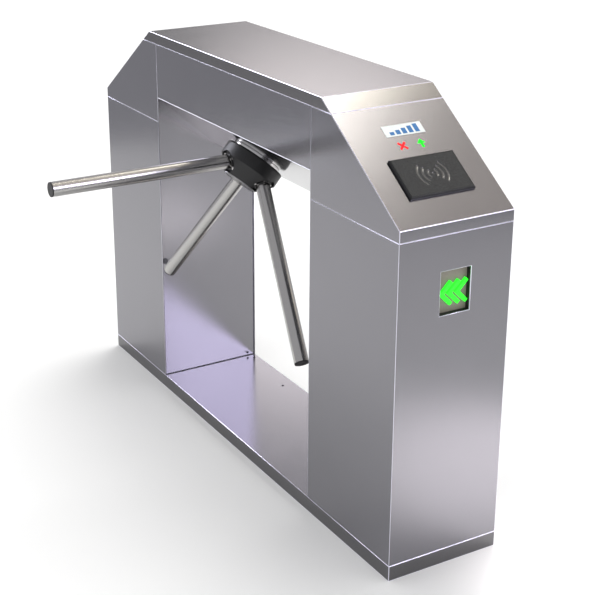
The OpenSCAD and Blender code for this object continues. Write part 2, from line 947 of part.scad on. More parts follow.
module shaft_bearing(z) {
    groove = 4;
    race = 5;
    tube(bearing_r, bearing_r - race, z, z + bearing_w);
    tube(bearing_r - race, shaft_r + race, z + groove, z + bearing_w - groove);
    tube(shaft_r + race, shaft_r + run_gap, z, z + bearing_w);
}

module shaft_bearings() {
    color("silver") on_shaft() {
        shaft_bearing(mech_in - bearing_w);
        shaft_bearing(housing_in);
    }
}

module mechanism_pillars() {
    color("gray") on_shaft() {
        for (at = [[pillar_x, pillar_top_y], [-pillar_x, pillar_bottom_y]]) {
            both_ends() translate(at) rod(pillar_r, rear_plate_out, mech_in);
        }
        both_ends() translate([pivot[0], -pivot[1], 0]) rod(pawl_pin_r, rear_plate_out, mech_in);
        translate(lever_pivot) rod(pawl_pin_r, rear_plate_out, mech_in);
    }
}

module rear_plate() {
    color("slategray") on_shaft() difference() {
        slab(-pillar_x - 12, -pillar_top_y - 12, pillar_x + 12, pillar_top_y + 12,
            rear_plate_out - rear_plate_t, rear_plate_out);
        rod(shaft_r + 2, rear_plate_out - rear_plate_t - cut, rear_plate_out + cut);
    }
}

module collar_ring() {
    color("silver") on_shaft()
        tube(collar_r, shaft_r + shaft_hole_gap, -belly_clearance, hub_rear - pass_gap);
}

module lock_solenoids() {
    half = solenoid_w / 2;
    color("dimgray") on_shaft() both_ends() difference() {
        slab(tail[0] - half, -bracket_y - bracket_t - solenoid_l, tail[0] + half,
            -bracket_y - bracket_t, wheel_mid - half, wheel_mid + half);
        translate([tail[0], -bracket_y - bracket_t, wheel_mid]) rotate([90, 0, 0])
            rod(plunger_r + pass_gap, -cut, solenoid_l - 5);
    }
}

module position_sensor() {
    top = rear_plate_out - rear_plate_t;
    half = 8;
    color("black") on_shaft() difference() {
        slab(disc_r - 11, -half, disc_r + 13, half, top - 14, top);
        slab(disc_r - 11 - cut, -half - cut, disc_r + 3, half + cut, disc_z - 1.5, disc_z + disc_t + 1.5);
    }
}

// ---- Tripod ----

module hub_body() {
    round_steps = 8;
    shaft_bore_r = shaft_r + fit_gap;
    color("black") difference() {
        on_shaft() rotate_extrude() polygon(concat(
            [[shaft_bore_r, hub_rear]],
            [for (k = [0 : round_steps]) let (a = -90 + 90 * k / round_steps) [
                hub_r - hub_rear_round + hub_rear_round * cos(a),
                hub_rear + hub_rear_round + hub_rear_round * sin(a)
            ]],
            [[hub_r, hub_side_end], [hub_nose_r, hub_nose_end], [0, hub_nose_end], [0, shaft_bore_end],
                [shaft_bore_r, shaft_bore_end]]
        ));
        for (k = [0 : 2]) on_arm(k) {
            rod(pocket_r, pocket_floor, pocket_reach);
            rod(arm_r + fit_gap, socket_start, pocket_reach);
            arm_screw_places() rod(arm_screw_r + fit_gap, pocket_floor - 10, pocket_floor + cut);
        }
    }
}

module arm_screw_places() {
    for (sx = [-1, 1], sy = [-1, 1]) {
        translate([sx * flange_dx / 2, sy * flange_dy / 2, 0]) children();
    }
}

module hub_cap() {
    cap_r = hub_nose_r - 1;
    rim_t = 1.2;
    crown = [[cap_r - 1.5, 2.4], [0, 3.4]];
    color("gray") on_shaft() translate([0, 0, hub_nose_end]) rotate_extrude()
        polygon([[0, 0], [cap_r, 0], [cap_r, rim_t], crown[0], crown[1]]);
}

module shaft() {
    color("silver") on_shaft() rod(shaft_r, shaft_in, shaft_bore_end - fit_gap);
}

module locking_wheel() {
    z0 = wheel_mid - wheel_t / 2;
    wheel_boss = 5;
    color("gray") on_shaft() difference() {
        union() {
            rod(wheel_r, z0, z0 + wheel_t);
            rod(shaft_r + 8, z0, z0 + wheel_t + wheel_boss);
        }
        rod(shaft_r + fit_gap, z0 - cut, z0 + wheel_t + wheel_boss + cut);
        for (k = [0 : notch_count - 1]) {
            rotate([0, 0, nose_a + 360 * k / notch_count])
                slab(wheel_r - notch_depth, -notch_w / 2, wheel_r + cut, notch_w / 2,
                    z0 - cut, z0 + wheel_t + cut);
        }
    }
}

module centring_cam() {
    z0 = cam_mid - cam_t / 2;
    z1 = cam_mid + cam_t / 2;
    color("gray") on_shaft() difference() {
        intersection() {
            union() for (k = [0 : 2]) {
                rotate([0, 0, 60 + 120 * k]) translate([cam_lobe + 10, 0, 0]) rod(cam_r - 10, z0, z1);
            }
            rod(cam_r + cam_lobe, z0, z1);
        }
        rod(shaft_r + fit_gap, z0 - cut, z1 + cut);
    }
}

module encoder_disc() {
    slot_count = 24;
    color("silver") on_shaft() difference() {
        rod(disc_r, disc_z, disc_z + disc_t);
        rod(shaft_r + fit_gap, disc_z - cut, disc_z + disc_t + cut);
        for (k = [0 : slot_count - 1]) {
            rotate([0, 0, 360 * k / slot_count])
                slab(disc_r - 7, -1.2, disc_r - 2, 1.2, disc_z - cut, disc_z + disc_t + cut);
        }
    }
}

module arm_tube() {
    tube(arm_r, arm_r - arm_wall, socket_start, arm_l - arm_cap_t);
}

module arm_1() {
    color("silver") on_arm(0) arm_tube();
}

module arm_2() {
    color("silver") on_arm(1) arm_tube();
}

module arm_3() {
    color("silver") on_arm(2) arm_tube();
}

module arm_end_caps() {
    color("black") for (k = [0 : 2]) on_arm(k) {
        rod(arm_r, arm_l - arm_cap_t, arm_l);
        rod(arm_r - arm_wall - fit_gap, arm_l - arm_cap_t - 12, arm_l - arm_cap_t);
    }
}

module arm_flanges() {
    color("black") for (k = [0 : 2]) on_arm(k) difference() {
        union() {
            rod(flange_r, pocket_floor, pocket_floor + flange_t);
            rod(arm_r + 3, pocket_floor, pocket_floor + flange_t + 4);
        }
        rod(arm_r + fit_gap, pocket_floor - cut, pocket_floor + 20);
        arm_screw_places() {
            rod(arm_screw_r + fit_gap, pocket_floor - cut, pocket_floor + 20);
            rod(arm_head_r + fit_gap, pocket_floor + flange_t, pocket_floor + 20);
        }
    }
}

module arm_screws() {
    color("silver") for (k = [0 : 2]) on_arm(k) arm_screw_places() {
        translate([0, 0, pocket_floor + flange_t]) dome(arm_head_r, arm_head_h);
        rod(arm_screw_r, pocket_floor - 9, pocket_floor + flange_t);
    }
}

// ---- Centring lever, pawls and plungers ----

module centring_lever() {
    reach = roller_at - lever_pivot;
    z0 = cam_mid - 5;
    color("gray") on_shaft() {
        difference() {
            translate(lever_pivot) {
                rod(10, z0, z0 + 10);
                rotate([0, 0, atan2(reach[1], reach[0])]) slab(0, -5, norm(reach), 5, z0 + 0.5, z0 + 2.5);
            }
            translate(lever_pivot) rod(pawl_pin_r + run_gap, z0 - cut, z0 + 11);
        }
        translate(roller_at) {
            rod(6, z0, z0 + 3);
            rod(3, z0 + 1, z0 + 11);
        }
    }
}

module centring_roller() {
    z0 = cam_mid - 5;
    color("silver") on_shaft() translate(roller_at)
        tube(roller_r, 3 + run_gap, z0 + 3, z0 + 10);
}

// Locking pawl, drawn locked in its notch on the +Y side and turned back by pawl_angle
module pawl() {
    z0 = wheel_mid - (wheel_t - 2) / 2;
    z1 = wheel_mid + (wheel_t - 2) / 2;
    nose = [nose_r * cos(nose_a), nose_r * sin(nose_a)];
    arm_a = atan2(nose[1] - pivot[1], nose[0] - pivot[0]);
    translate(pivot) rotate([0, 0, pawl_angle]) translate(-pivot) difference() {
        union() {
            translate(pivot) {
                rod(10, z0, z1);
                rotate([0, 0, arm_a]) slab(0, -6, pawl_l + 4, 6, z0 + 1, z1 - 1);
                rotate([0, 0, tail_a - pawl_angle]) {
                    slab(0, -3.5, tail_l, 3.5, wheel_mid - 3, wheel_mid + 3);
                    translate([tail_l, 0, 0]) {
                        rod(4, wheel_mid - 2.8, wheel_mid + 2.8);
                        rod(tail_pin_r, wheel_mid - plunger_r + 0.5, wheel_mid + plunger_r - 0.5);
                    }
                }
            }
            rotate([0, 0, nose_a]) translate([0, 0, z0]) linear_extrude(z1 - z0) polygon([
                [nose_tip_r, -nose_tip_w / 2], [nose_tip_r + nose_taper_l, -nose_w / 2],
                [nose_r + 8, -nose_w / 2], [nose_r + 8, nose_w / 2],
                [nose_tip_r + nose_taper_l, nose_w / 2], [nose_tip_r, nose_tip_w / 2]
            ]);
        }
        translate(pivot) rod(pawl_pin_r + run_gap, z0 - cut, z1 + cut);
    }
}

// Plunger with a forked end that holds the pawl's tail pin
module plunger() {
    translate([tail[0], tail[1], wheel_mid]) rotate([-90, 0, 0]) difference() {
        rod(plunger_r, -6, bracket_y + bracket_t + 25 - tail[1]);
        slab(-plunger_r - cut, -3 - pass_gap, plunger_r + cut, 3 + pass_gap, -6 - cut, 14);
        rotate([90, 0, 0]) rod(tail_pin_r + pass_gap, -plunger_r - cut, plunger_r + cut);
    }
}

module exit_pawl() {
    color("gray") on_shaft() pawl();
}

module entry_pawl() {
    color("gray") on_shaft() to_exit() pawl();
}

module exit_plunger() {
    color("silver") on_shaft() plunger();
}

module entry_plunger() {
    color("silver") on_shaft() to_exit() plunger();
}

base_tray();
floor_cover();
entry_casing();
exit_casing();
entry_service_panel();
exit_service_panel();
entry_hood();
exit_hood();
passage_panel();
belly_plate();
back_panel();
pedestal_frames();
bridge_frame();
lid();
hinge_leaf_cabinet();
hinge_leaf_lid();
hinge_pin();
lock_bodies();
entry_lock_plug();
exit_lock_plug();
reader_housing();
reader_cover();
name_plate();
stop_light();
go_light();
light_board();
indicator_boxes();
indicator_panels();
indicator_chevrons();
panel_screws();
equipment_plate();
control_board();
power_supply();
mechanism_plate();
bearing_housing();
shaft_bearings();
mechanism_pillars();
rear_plate();
collar_ring();
lock_solenoids();
position_sensor();
hub_body();
hub_cap();
shaft();
locking_wheel();
centring_cam();
encoder_disc();
arm_1();
arm_2();
arm_3();
arm_end_caps();
arm_flanges();
arm_screws();
centring_lever();
centring_roller();
entry_pawl();
exit_pawl();
entry_plunger();
exit_plunger();
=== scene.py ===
# Visitor counter turnstile: the looks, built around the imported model.
# Everything is in metres, in the model's own frame: +Y is the walking direction, +Z is up, and the
# passage that the level arm closes is on the -X side.
import math

import bmesh
import bpy
from mathutils import Matrix, Vector


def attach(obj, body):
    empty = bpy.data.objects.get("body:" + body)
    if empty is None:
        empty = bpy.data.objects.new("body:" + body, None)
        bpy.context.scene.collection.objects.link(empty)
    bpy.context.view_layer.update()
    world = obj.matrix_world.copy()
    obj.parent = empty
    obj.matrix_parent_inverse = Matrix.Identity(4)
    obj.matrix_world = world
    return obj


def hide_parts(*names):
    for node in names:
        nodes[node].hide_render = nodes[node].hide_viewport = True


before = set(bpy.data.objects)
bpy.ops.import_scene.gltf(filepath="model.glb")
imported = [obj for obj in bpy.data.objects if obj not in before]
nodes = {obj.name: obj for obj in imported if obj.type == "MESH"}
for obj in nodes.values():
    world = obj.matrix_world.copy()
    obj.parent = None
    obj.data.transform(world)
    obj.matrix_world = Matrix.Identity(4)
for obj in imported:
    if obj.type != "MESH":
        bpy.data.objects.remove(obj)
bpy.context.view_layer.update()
scene = bpy.context.scene


# ---- Studio ----
# A white floor under a soft key light from behind on the right, so that the shadow falls towards the
# passage and the entry end, and two faint pools of light on the floor. Glossy faces mirror a grey
# dome with soft panels of light, which casts no light of its own.

def look_matrix(azimuth, elevation, roll):
    """Turning of a camera that stands at this azimuth and elevation, in degrees, and looks back."""
    a, e, r = (math.radians(angle) for angle in (azimuth, elevation, roll))
    back = Vector((math.sin(a) * math.cos(e), -math.cos(a) * math.cos(e), math.sin(e)))
    level = Vector((math.cos(a), math.sin(a), 0))
    upright = back.cross(level)
    right = math.cos(r) * level + math.sin(r) * upright
    up = math.cos(r) * upright - math.sin(r) * level
    return Matrix((right, up, back)).transposed().to_4x4()


camera_place = (-1.5486, -2.6630, 1.6181)
camera_data = bpy.data.cameras.new("camera")
camera_data.sensor_width = 36
camera_data.lens = 80.93
camera_data.shift_x = 0.0523
camera_data.shift_y = -0.0962
camera = bpy.data.objects.new("camera", camera_data)
camera.matrix_world = Matrix.Translation(camera_place) @ look_matrix(-29.628, 19.626, -0.159)
scene.collection.objects.link(camera)
scene.camera = camera
scene.view_settings.view_transform = "Standard"


def set_inputs(node, inputs):
    """Gives each named socket of a node its constant, or wires in the socket that feeds it."""
    for socket, value in inputs.items():
        if isinstance(value, bpy.types.NodeSocket):
            node.id_data.links.new(value, node.inputs[socket])
        else:
            node.inputs[socket].default_value = value


def add_node(tree, kind, inputs=None, **settings):
    """A new node in the tree, with these settings and inputs."""
    node = tree.nodes.new(kind)
    for setting, value in settings.items():
        setattr(node, setting, value)
    set_inputs(node, inputs or {})
    return node


def scaled(tree, colour, amount):
    """The colour times the amount, as a socket. Either can be a constant or a socket."""
    return add_node(tree, "ShaderNodeVectorMath", {0: colour, "Scale": amount}, operation="SCALE").outputs[0]


def new_material(name):
    """A new material, its node tree and its Principled shader."""
    material = bpy.data.materials.new(name)
    material.use_nodes = True
    tree = material.node_tree
    return material, tree, tree.nodes["Principled BSDF"]


def mesh_piece(name, mesh_maker, material, body=None):
    """A new piece from a bmesh that mesh_maker fills."""
    bm = bmesh.new()
    mesh_maker(bm)
    bmesh.ops.recalc_face_normals(bm, faces=bm.faces)
    mesh = bpy.data.meshes.new(name)
    bm.to_mesh(mesh)
    bm.free()
    piece = bpy.data.objects.new(name, mesh)
    scene.collection.objects.link(piece)
    mesh.materials.append(material)
    if body:
        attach(piece, body)
    return piece


def fill_floor(bm):
    bmesh.ops.create_circle(bm, cap_ends=True, segments=128, radius=2.95)


# The floor looks a little darker in the steel than it is
floor_material, floor_tree, floor_shader = new_material("studio_floor")
floor_ray = add_node(floor_tree, "ShaderNodeLightPath")
floor_tone = add_node(floor_tree, "ShaderNodeMapRange",
                      {"Value": floor_ray.outputs["Is Glossy Ray"], "To Min": 0.93, "To Max": 0.88})
set_inputs(floor_shader, {"Base Color": floor_tone.outputs[0], "Roughness": 0.9, "Specular IOR Level": 0})
floor = mesh_piece("studio_floor", fill_floor, floor_material)

world = bpy.data.worlds.new("studio_room")
scene.world = world
world.use_nodes = True
room = world.node_tree
room.nodes.clear()
direction = add_node(room, "ShaderNodeTexCoord").outputs["Generated"]


def light_panel(towards, spread, colour, strength):
    """A soft round glow in the room around one direction, as a colour socket."""
    nearness = add_node(room, "ShaderNodeVectorMath", {0: direction, 1: Vector(towards).normalized()},
                        operation="DOT_PRODUCT")
    glow = add_node(room, "ShaderNodeMapRange",
                    {"Value": nearness.outputs["Value"], "From Min": math.cos(math.radians(spread)),
                     "From Max": 1, "To Max": strength},
                    interpolation_type="SMOOTHERSTEP")
    return scaled(room, colour, glow.outputs["Result"])


# Direction the panel lies in, its spread in degrees, its colour and its strength
ROOM_PANELS = [
    ((0.51, 0.81, 0.33), 10, (1.0, 0.93, 0.92), 3.4),
    ((0.478, 0.08, 0.875), 6.9, (1.0, 0.96, 0.84), 8.6),
    ((0.62, -0.10, 0.78), 50, (1.0, 0.82, 0.54), 0.38),
    ((0.42, -0.82, 0.38), 15, (0.93, 0.88, 1.08), 10.0),
    ((-0.26, 0.84, 0.48), 20, (0.94, 0.94, 1.05), 11.0),
]
dome_grey = add_node(room, "ShaderNodeRGB")
dome_grey.outputs[0].default_value = (0.52, 0.52, 0.545, 1)
room_colour = dome_grey.outputs[0]
for panel in ROOM_PANELS:
    room_colour = add_node(room, "ShaderNodeVectorMath", {0: room_colour, 1: light_panel(*panel)},
                           operation="ADD").outputs["Vector"]
mirrored = add_node(room, "ShaderNodeBackground", {"Color": room_colour})
even = add_node(room, "ShaderNodeBackground", {"Color": (0.94, 0.94, 0.94, 1)})
behind = add_node(room, "ShaderNodeBackground", {"Color": (1.1, 1.1, 1.1, 1)})
ray = add_node(room, "ShaderNodeLightPath")
lit_by = add_node(room, "ShaderNodeMixShader",
                  {"Fac": ray.outputs["Is Glossy Ray"], 1: even.outputs[0], 2: mirrored.outputs[0]})
seen_as = add_node(room, "ShaderNodeMixShader",
                   {"Fac": ray.outputs["Is Camera Ray"], 1: lit_by.outputs[0], 2: behind.outputs[0]})
add_node(room, "ShaderNodeOutputWorld", {"Surface": seen_as.outputs[0]})


def add_lamp(name, kind, place, target, power, colour, **settings):
    """A lamp at place that shines at target. Nothing mirrors it."""
    lamp = bpy.data.lights.new(name, kind)
    lamp.energy = power
    lamp.color = colour
    for setting, value in settings.items():
        setattr(lamp, setting, value)
    lamp_object = bpy.data.objects.new(name, lamp)
    lamp_object.location = place
    lamp_object.rotation_euler = (Vector(target) - Vector(place)).to_track_quat("-Z", "Y").to_euler()
    lamp_object.visible_glossy = False
    scene.collection.objects.link(lamp_object)


def floor_pool(name, place, target, cone, power, colour):
    """A soft-edged pool of light on the floor, cone degrees wide."""
    add_lamp(name, "SPOT", place, target, power, colour,
             spot_size=math.radians(cone), spot_blend=1, shadow_soft_size=0.1)


add_lamp("key_light", "AREA", (1.11, 1.11, 4.32), (0, 0, 0.3), 82, (1, 0.99, 0.97), shape="DISK", size=1.9)
floor_pool("front_pool", (0.8, -1.15, 1.5), (0.36, -1.02, 0), 32, 150, (1, 0.93, 0.95))
floor_pool("rear_pool", (-1.68, 2.2, 1.2), (-1.68, 2.2, 0), 24, 60, (0.90, 0.92, 1))


# ---- Cabinet sheets ----
# The plinth, casings, hoods, panels and floor cover are folded from stainless sheet, 1.5 or 2 mm
# thick, with a satin brushed face. Each is a shell of its own that meets the next at a fine open
# seam, and its folded edges are slightly round and painted bright as a highlight.

def new_group(name, kind, inputs, outputs):
    """An empty node group and its two ends. inputs maps a title to its socket type and default value,
    and outputs maps a title to its socket type."""
    group = bpy.data.node_groups.new(name, kind)
    for title, (socket_type, value) in inputs.items():
        socket = group.interface.new_socket(title, in_out="INPUT", socket_type=socket_type)
        if value is not None:
            socket.default_value = value
    for title, socket_type in outputs.items():
        group.interface.new_socket(title, in_out="OUTPUT", socket_type=socket_type)
    return group, group.nodes.new("NodeGroupInput"), group.nodes.new("NodeGroupOutput")


def make_brushed_face():
    """Fine parallel grain and faint, slow handling marks, for any ground metal face."""
    group, given, out = new_group(
        "brushed_face", "ShaderNodeTree",
        {"Steel": ("NodeSocketColor", (0.5, 0.5, 0.5, 1)), "Gloss": ("NodeSocketFloat", 0.3),
         "Grain": ("NodeSocketVector", (900, 900, 14)), "Grain depth": ("NodeSocketFloat", 0.2),
         "Handling marks": ("NodeSocketFloat", 0.05)},
        {"Color": "NodeSocketColor", "Roughness": "NodeSocketFloat", "Normal": "NodeSocketVector"})
    place = add_node(group, "ShaderNodeTexCoord").outputs["Object"]
    stretched = add_node(group, "ShaderNodeVectorMath", {0: place, 1: given.outputs["Grain"]},
                         operation="MULTIPLY").outputs[0]
    grain = add_node(group, "ShaderNodeTexNoise",
                     {"Scale": 1, "Detail": 3, "Vector": stretched}).outputs["Fac"]
    marks = add_node(group, "ShaderNodeTexNoise",
                     {"Scale": 7, "Detail": 5, "Distortion": 0.6, "Vector": place}).outputs["Fac"]

    def centred(source, amount, middle):
        """middle + (source - 0.5) * amount"""
        swing = add_node(group, "ShaderNodeMath", {0: source, 1: 0.5}, operation="SUBTRACT").outputs[0]
        swing = add_node(group, "ShaderNodeMath", {0: swing, 1: amount}, operation="MULTIPLY").outputs[0]
        return add_node(group, "ShaderNodeMath", {0: swing, 1: middle}, operation="ADD").outputs[0]

    tone = centred(grain, given.outputs["Grain depth"], 1)
    tone = centred(marks, given.outputs["Handling marks"], tone)
    rough = centred(marks, given.outputs["Handling marks"], given.outputs["Gloss"])
    rough = centred(grain, given.outputs["Grain depth"], rough)
    bump = add_node(group, "ShaderNodeBump",
                    {"Distance": 0.0004, "Strength": given.outputs["Grain depth"], "Height": grain})
    set_inputs(out, {"Color": scaled(group, given.outputs["Steel"], tone), "Roughness": rough,
                     "Normal": bump.outputs[0]})
    return group


brushed_face = make_brushed_face()


def metal(name, steel, gloss, grain, grain_depth=0.12, marks=0.06, metallic=1.0, glance=1.0):
    """A metal finish that uses the brushed face group. grain is its scale along X, Y and Z, and glance
    is how much of the light that only glances off it is kept."""
    material, tree, shader = new_material(name)
    face = add_node(tree, "ShaderNodeGroup",
                    {"Steel": (*steel, 1), "Gloss": gloss, "Grain": grain, "Grain depth": grain_depth,
                     "Handling marks": marks},
                    node_tree=brushed_face)
    set_inputs(shader, {"Metallic": metallic, "Specular Tint": (glance, glance, glance, 1),
                        "Base Color": face.outputs["Color"], "Roughness": face.outputs["Roughness"],
                        "Normal": face.outputs["Normal"]})
    return material


SHARP_FOLD = math.radians(12)
SHORTEST_FOLD = 0.02
OUTER_WEIGHT = 0.99
SAME_POINT = 0.00001
SAME_PLANE = 0.00005


def make_outer_edges():
    """Geometry nodes that give a bevel weight to the long sharp edges between a sheet's outer corners
    and keep its other sharp edges crisp."""
    group, given, out = new_group(
        "outer_edges", "GeometryNodeTree",
        {"Sheet": ("NodeSocketGeometry", None)}, {"Sheet": "NodeSocketGeometry"})

    def math_node(operation, first, second):
        return add_node(group, "ShaderNodeMath", {0: first, 1: second}, operation=operation).outputs[0]

    fold = add_node(group, "GeometryNodeInputMeshEdgeAngle")
    sharp = math_node("GREATER_THAN", fold.outputs["Unsigned Angle"], SHARP_FOLD)
    corners = add_node(group, "GeometryNodeInputNamedAttribute", {"Name": "outer_corners"},
                       data_type="FLOAT")
    outer = math_node("GREATER_THAN", corners.outputs["Attribute"], OUTER_WEIGHT)
    ends = add_node(group, "GeometryNodeInputMeshEdgeVertices")
    length = add_node(group, "ShaderNodeVectorMath",
                      {0: ends.outputs["Position 1"], 1: ends.outputs["Position 2"]},
                      operation="DISTANCE")
    long = math_node("GREATER_THAN", length.outputs["Value"], SHORTEST_FOLD)
    chosen = math_node("MULTIPLY", math_node("MULTIPLY", sharp, outer), long)
    store = add_node(group, "GeometryNodeStoreNamedAttribute",
                     {"Name": "bevel_weight_edge", "Geometry": given.outputs[0], "Value": chosen},
                     data_type="FLOAT", domain="EDGE")
    crisp = add_node(group, "GeometryNodeSetShadeSmooth",
                     {"Geometry": store.outputs[0], "Selection": math_node("GREATER_THAN", sharp, chosen),
                      "Shade Smooth": False},
                     domain="EDGE")
    set_inputs(out, {0: crisp.outputs[0]})
    return group


outer_edges = make_outer_edges()


def mark_outer_corners(node):
    """A vertex group with the corners that lie on the outside of a folded sheet."""
    bm = bmesh.new()
    bm.from_mesh(node.data)
    bmesh.ops.remove_doubles(bm, verts=bm.verts, dist=SAME_POINT)
    hull = bmesh.ops.convex_hull(bm, input=bm.verts, use_existing_faces=False)
    planes = [(face.normal.copy(), face.verts[0].co.copy()) for face in hull["geom"]
              if isinstance(face, bmesh.types.BMFace)]
    bm.free()
    group = node.vertex_groups.new(name="outer_corners")
    for vertex in node.data.vertices:
        if any(abs((vertex.co - point).dot(normal)) < SAME_PLANE for normal, point in planes):
            group.add([vertex.index], 1, "REPLACE")


def finish_node(name, material, edge=0.0006, segments=2, edge_material=None, smooth=True):
    """Gives a CAD node its finish and rounds its edges by edge metres, by modifiers alone. With an
    edge_material only the outer folds and rims are rounded, and they take that finish."""
    node = nodes[name]
    node.data.materials.clear()
    node.data.materials.append(material)
    if edge:
        weld = node.modifiers.new("weld", "WELD")
        weld.merge_threshold = SAME_POINT
        flat = node.modifiers.new("flat", "DECIMATE")
        flat.decimate_type = "DISSOLVE"
        flat.angle_limit = math.radians(0.5)
        if edge_material:
            node.data.materials.append(edge_material)
            mark_outer_corners(node)
            node.modifiers.new("outer_edges", "NODES").node_group = outer_edges
        round_edges = node.modifiers.new("edges", "BEVEL")
        round_edges.width = edge
        round_edges.segments = segments
        if edge_material:
            round_edges.material = 1
            round_edges.use_clamp_overlap = False
            round_edges.limit_method = "WEIGHT"
        else:
            round_edges.limit_method = "ANGLE"
            round_edges.angle_limit = math.radians(30)
    for polygon in node.data.polygons:
        polygon.use_smooth = smooth
    if smooth:
        normals = node.modifiers.new("normals", "WEIGHTED_NORMAL")
        normals.keep_sharp = edge_material is not None


upright_grain = (1100, 1100, 16)
long_grain = (1100, 16, 1100)
satin_grey = (0.258, 0.254, 0.275)
satin_gloss = 0.19
cabinet_steel = metal("cabinet_steel", satin_grey, satin_gloss, upright_grain)
bridge_steel = metal("bridge_steel", satin_grey, satin_gloss, long_grain)
cover_steel = metal("cover_steel", satin_grey, satin_gloss, long_grain, glance=0.8)
plinth_steel = metal("plinth_steel", (0.17, 0.168, 0.175), 0.24, long_grain)
# Painted highlight: the round outer folds get a light, lilac-tinted steel that stands in for the bright
# lines of light along them.
fold_highlight = metal("fold_highlight", (0.80, 0.79, 0.90), 0.30, upright_grain, metallic=0.9)


def finish_sheet(name, material):
    """The finish of a folded sheet, with round outer edges painted bright as a highlight."""
    finish_node(name, material, edge=0.0014, segments=3, edge_material=fold_highlight)


for name in ["entry_casing", "exit_casing", "entry_service_panel", "exit_service_panel",
             "entry_hood", "exit_hood"]:
    finish_sheet(name, cabinet_steel)
finish_sheet("base_tray", plinth_steel)
finish_sheet("floor_cover", cover_steel)
finish_node("passage_panel", bridge_steel)
finish_node("back_panel", bridge_steel)


# ---- Belly plate and collar ----
# The sloped plate under the bridge is polished brighter than the casings and mirrors the hub. A
# turned stainless ring fills the gap between the plate and the turning hub.

belly_steel = metal("belly_steel", (0.28, 0.28, 0.29), 0.12, long_grain, grain_depth=0.03, marks=0.03)
collar_steel = metal("collar_steel", (0.72, 0.71, 0.70), 0.16, (300, 300, 300), grain_depth=0.05)
finish_node("belly_plate", belly_steel)
finish_node("collar_ring", collar_steel, edge=0.0008)


# ---- Lid and piano hinge ----
# The lid is one folded sheet with side lips and end lips that follow the slopes. It opens on a
# piano hinge along the back, away from the passage.

lid_steel = metal("lid_steel", (0.255, 0.25, 0.255), 0.17, long_grain, glance=0.6)
hinge_steel = metal("hinge_steel", (0.45, 0.45, 0.46), 0.35, long_grain, grain_depth=0.2)
finish_sheet("lid", lid_steel)
for name in ["hinge_leaf_cabinet", "hinge_leaf_lid", "hinge_pin"]:
    finish_node(name, hinge_steel, edge=0.0002)


# ---- Tripod hub ----
# The hub is a machined casting with a satin black powder coat. Three pockets square to the arms
# hold black flanges, and a thin turned cap closes the front.

def around(tree, source, middle, swing):
    """A socket that goes from middle - swing to middle + swing as source goes from 0 to 1."""
    return add_node(tree, "ShaderNodeMapRange",
                    {"Value": source, "To Min": middle - swing, "To Max": middle + swing}).outputs[0]


def coating(name, colour, gloss, texture_scale, depth, metallic=0.0, mottle=0.15, shine=0.5):
    """A painted, plated or moulded finish with a fine even texture and slightly uneven gloss."""
    material, tree, shader = new_material(name)
    place = add_node(tree, "ShaderNodeTexCoord").outputs["Object"]
    texture = add_node(tree, "ShaderNodeTexNoise",
                       {"Scale": texture_scale, "Detail": 4, "Vector": place}).outputs["Fac"]
    bump = add_node(tree, "ShaderNodeBump", {"Strength": depth, "Distance": 0.0005, "Height": texture})
    set_inputs(shader, {"Base Color": scaled(tree, colour, around(tree, texture, 1, mottle)),
                        "Roughness": around(tree, texture, gloss, 0.05), "Normal": bump.outputs[0],
                        "Metallic": metallic, "Specular IOR Level": shine})
    return material


hub_black = coating("hub_black", (0.010, 0.010, 0.011), 0.48, 900, 0.10)
flange_black = coating("flange_black", (0.008, 0.008, 0.009), 0.42, 900, 0.10)
cap_steel = metal("cap_steel", (0.34, 0.34, 0.35), 0.30, (400, 400, 400), grain_depth=0.08)
finish_node("hub_body", hub_black, edge=0.0012, segments=3)
finish_node("hub_cap", cap_steel, edge=0.0004)
finish_node("arm_flanges", flange_black)


# ---- Arms ----
# Each arm is a straight length of satin stainless tube, ground round its girth, closed by a black
# plastic plug with a rounded rim. The three axes meet at the apex, on the axis of the hub, and each
# leans as far from that axis as that axis leans from upright.

ARM_TURNS = {"arm_1": 0, "arm_2": 120, "arm_3": 240}
apex = Vector((-0.06049, 0, 0.74032))
tilt = math.radians(49)


def arm_frame(turn):
    """Frame of the arm at this turn round the hub, in degrees: +Z runs out along it from the apex."""
    return (Matrix.Translation(apex) @ Matrix.Rotation(-math.pi / 2 - tilt, 4, "Y")
            @ Matrix.Rotation(math.radians(turn), 4, "Z") @ Matrix.Rotation(tilt, 4, "Y"))


def ringed_steel(name, axis, steel, gloss, depth):
    """Ground tube, with fine rings square to its axis."""
    material, tree, shader = new_material(name)
    place = add_node(tree, "ShaderNodeTexCoord").outputs["Object"]
    along = add_node(tree, "ShaderNodeVectorMath", {0: place, 1: axis}, operation="DOT_PRODUCT")
    rings = add_node(tree, "ShaderNodeTexNoise",
                     {"Scale": 1500, "Detail": 3, "W": along.outputs["Value"]},
                     noise_dimensions="1D").outputs["Fac"]
    set_inputs(shader, {"Base Color": scaled(tree, steel, around(tree, rings, 1, depth)),
                        "Roughness": around(tree, rings, gloss, 0.04), "Metallic": 1})
    return material


cap_black = coating("cap_black", (0.012, 0.012, 0.013), 0.45, 700, 0.15)
for name, turn in ARM_TURNS.items():
    axis = arm_frame(turn).to_3x3() @ Vector((0, 0, 1))
    finish_node(name, ringed_steel(name + "_steel", axis, (0.50, 0.49, 0.48), 0.24, 0.1), edge=0)
finish_node("arm_end_caps", cap_black, edge=0.0014, segments=4)


# ---- Screws ----
# Four domed socket screws in bright zinc clamp each arm's flange to the hub. The small screws that
# hold the panels are dark zinc.

SCREW_SEAT = 0.072
SCREW_COLUMN, SCREW_ROW = 0.0125, 0.018
HEAD_RADIUS, HEAD_HEIGHT, SOCKET_RADIUS = 0.0046, 0.0035, 0.0026
HEAD_RIM = 0.18
DOME_STEPS = 7
HEAD_POINTS = 48
HEAD_TURNS = [2 * math.pi * k / HEAD_POINTS for k in range(HEAD_POINTS)]
